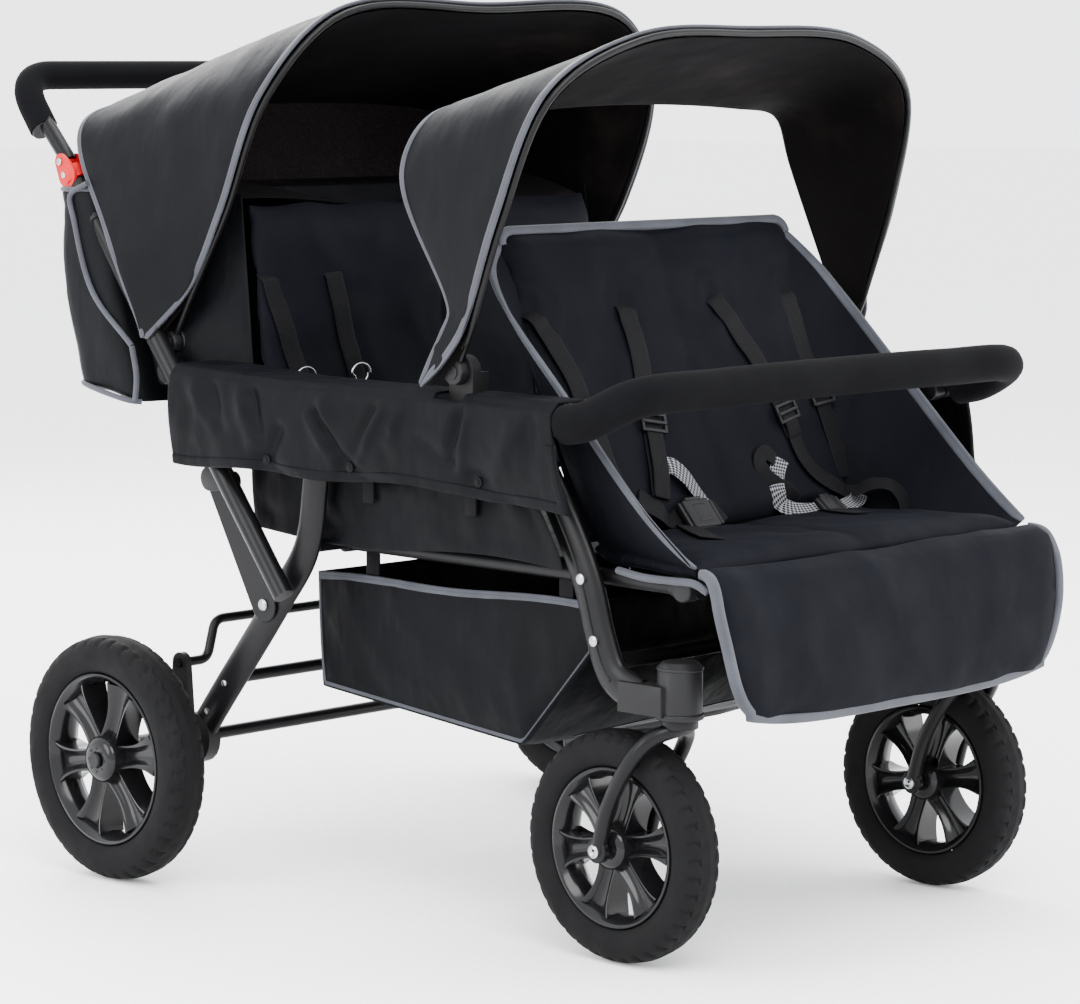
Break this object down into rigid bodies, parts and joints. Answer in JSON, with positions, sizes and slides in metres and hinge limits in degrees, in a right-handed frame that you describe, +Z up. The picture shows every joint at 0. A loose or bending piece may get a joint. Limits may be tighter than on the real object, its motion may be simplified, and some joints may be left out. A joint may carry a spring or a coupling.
{
  "type": "multi seat daycare stroller",
  "caption": "Folding two-row stroller with side-by-side seats, two hooped canopies, swivel front casters, padded bumper bar, under-seat basket, rear bag and adjustable push handle.",
  "frame": {"origin": "on the floor, at the middle of the stroller's length and width", "axes": "+Z up, -Y the way the children face, +X to the left seen by the person who pushes"},
  "size_m": [0.878, 1.1502, 1.0671],
  "materials": {
    "canopy_cloth": "navy-black plain weave nylon",
    "cloth": "navy-black plain weave nylon",
    "foam": "matt closed-cell foam",
    "frame": "satin black powder coat",
    "moulded": "fine grained black",
    "release": "glossy red",
    "tyre": "dusty black rubber",
    "wheel_rim": "glossy black"
  },
  "bodies": {
    "root": {"rear_leg_left": "frame", "rear_leg_right": "frame", "axle_arm_left": "moulded", "axle_arm_right": "moulded", "lower_cross_tube": "frame", "upper_cross_tube": "frame", "seat_pivot_tube": "frame", "basket": "cloth", "seat_tub": "cloth"},
    "armrests": {"armrest_tube_left": "frame", "armrest_tube_right": "frame", "front_canopy_hub_left": "moulded", "front_canopy_hub_right": "moulded", "front_canopy_rear_bow": "frame", "front_canopy": "canopy_cloth", "armrest_flap_left": "cloth", "armrest_flap_right": "cloth"},
    "push_handle": {"push_tube_left": "frame", "push_tube_right": "frame", "handle_clevis_left": "release", "handle_clevis_right": "release", "rear_canopy_hub_left": "moulded", "rear_canopy_hub_right": "moulded", "rear_bag": "cloth", "rear_canopy": "canopy_cloth", "rear_curtain": "canopy_cloth"},
    "handle": {"handle_tube": "frame", "handle_grip": "foam"},
    "rear_canopy_hoop": {"rear_canopy_bow": "frame"},
    "front_canopy_hoop": {"front_canopy_front_bow": "frame"},
    "fold_links": {"fold_link_left": "frame", "fold_link_right": "frame"},
    "front_legs": {"front_leg_left": "frame", "front_leg_right": "frame", "front_cross_tube": "frame", "under_panel": "cloth", "caster_housing_left": "moulded", "caster_housing_right": "moulded"},
    "caster_left": {"caster_fork_left": "frame"},
    "caster_right": {"caster_fork_right": "frame"},
    "front_wheel_left": {"front_rim_left": "wheel_rim", "front_tyre_left": "tyre"},
    "front_wheel_right": {"front_rim_right": "wheel_rim", "front_tyre_right": "tyre"},
    "rear_wheel_left": {"rear_rim_left": "wheel_rim", "rear_tyre_left": "tyre"},
    "rear_wheel_right": {"rear_rim_right": "wheel_rim", "rear_tyre_right": "tyre"},
    "seat_rails": {"seat_rail_left": "frame", "seat_rail_right": "frame", "seat_cross_tube": "frame", "front_seat_pan": "cloth", "front_seat_back": "cloth", "front_wing_left": "cloth", "front_wing_right": "cloth", "calf_panel": "cloth", "rear_seat_pan": "cloth", "rear_seat_back": "cloth"},
    "bumper": {"bumper_bar": "foam"},
    "brake": {"brake_bar": "frame"}
  },
  "joints": [
    {"name": "frame_fold", "type": "hinge", "parent": "root", "child": "armrests", "pos_m": [0, 0.01585, 0.6], "axis": [-1, 0, 0], "range_deg": [0, 52], "deforming": ["seat_tub", "basket", "under_panel", "rear_bag", "rear_canopy", "front_seat_back", "front_wing_left", "front_wing_right", "armrest_flap_left", "armrest_flap_right", "rear_seat_back", "rear_curtain"]},
    {"name": "link_fold", "type": "hinge", "parent": "root", "child": "fold_links", "pos_m": [0, 0.11485, 0.354], "axis": [-1, 0, 0], "range_deg": [0, 86.61]},
    {"name": "push_tube_fold", "type": "hinge", "parent": "armrests", "child": "push_handle", "pos_m": [0, 0.28185, 0.622], "axis": [1, 0, 0], "range_deg": [0, 111.31]},
    {"name": "rail_fold", "type": "hinge", "parent": "root", "child": "seat_rails", "pos_m": [0, 0.05185, 0.428], "axis": [-1, 0, 0], "range_deg": [0, 34.21]},
    {"name": "front_leg_fold", "type": "hinge", "parent": "armrests", "child": "front_legs", "pos_m": [0, -0.25015, 0.6], "axis": [1, 0, 0], "range_deg": [0, 41.21]},
    {"name": "rear_canopy_fold", "type": "hinge", "parent": "push_handle", "child": "rear_canopy_hoop", "pos_m": [0, 0.28785, 0.656], "axis": [-1, 0, 0], "range_deg": [0, 62.01]},
    {"name": "front_canopy_fold", "type": "hinge", "parent": "armrests", "child": "front_canopy_hoop", "pos_m": [0, -0.20515, 0.649], "axis": [-1, 0, 0], "range_deg": [0, 30], "deforming": ["front_canopy"]},
    {"name": "handle_angle", "type": "hinge", "parent": "push_handle", "child": "handle", "pos_m": [0, 0.45685, 0.871], "axis": [-1, 0, 0], "range_deg": [0, 60]},
    {"name": "bumper_swing", "type": "hinge", "parent": "armrests", "child": "bumper", "pos_m": [0, -0.35915, 0.598], "axis": [-1, 0, 0], "range_deg": [0, 70]},
    {"name": "brake_press", "type": "hinge", "parent": "root", "child": "brake", "pos_m": [0, 0.28185, 0.264], "axis": [-1, 0, 0], "range_deg": [0, 35]},
    {"name": "caster_swivel_left", "type": "hinge", "parent": "front_legs", "child": "caster_left", "pos_m": [0.273, -0.48715, 0.28], "axis": [0, 0, 1], "continuous": true},
    {"name": "front_wheel_spin_left", "type": "hinge", "parent": "caster_left", "child": "front_wheel_left", "pos_m": [0.273, -0.40215, 0.131], "axis": [1, 0, 0], "continuous": true},
    {"name": "rear_wheel_spin_left", "type": "hinge", "parent": "root", "child": "rear_wheel_left", "pos_m": [0.405, 0.32785, 0.15], "axis": [1, 0, 0], "continuous": true},
    {"name": "caster_swivel_right", "type": "hinge", "parent": "front_legs", "child": "caster_right", "pos_m": [-0.273, -0.48715, 0.28], "axis": [0, 0, 1], "continuous": true},
    {"name": "front_wheel_spin_right", "type": "hinge", "parent": "caster_right", "child": "front_wheel_right", "pos_m": [-0.273, -0.40215, 0.131], "axis": [1, 0, 0], "continuous": true},
    {"name": "rear_wheel_spin_right", "type": "hinge", "parent": "root", "child": "rear_wheel_right", "pos_m": [-0.405, 0.32785, 0.15], "axis": [1, 0, 0], "continuous": true}
  ],
  "couplings": [
    {"joint": "link_fold", "follows": "frame_fold", "ratio": 1.6654},
    {"joint": "push_tube_fold", "follows": "frame_fold", "ratio": 2.1404},
    {"joint": "rail_fold", "follows": "frame_fold", "ratio": 0.65769},
    {"joint": "front_leg_fold", "follows": "frame_fold", "ratio": 0.79231},
    {"joint": "rear_canopy_fold", "follows": "frame_fold", "ratio": 1.1923}
  ]
}
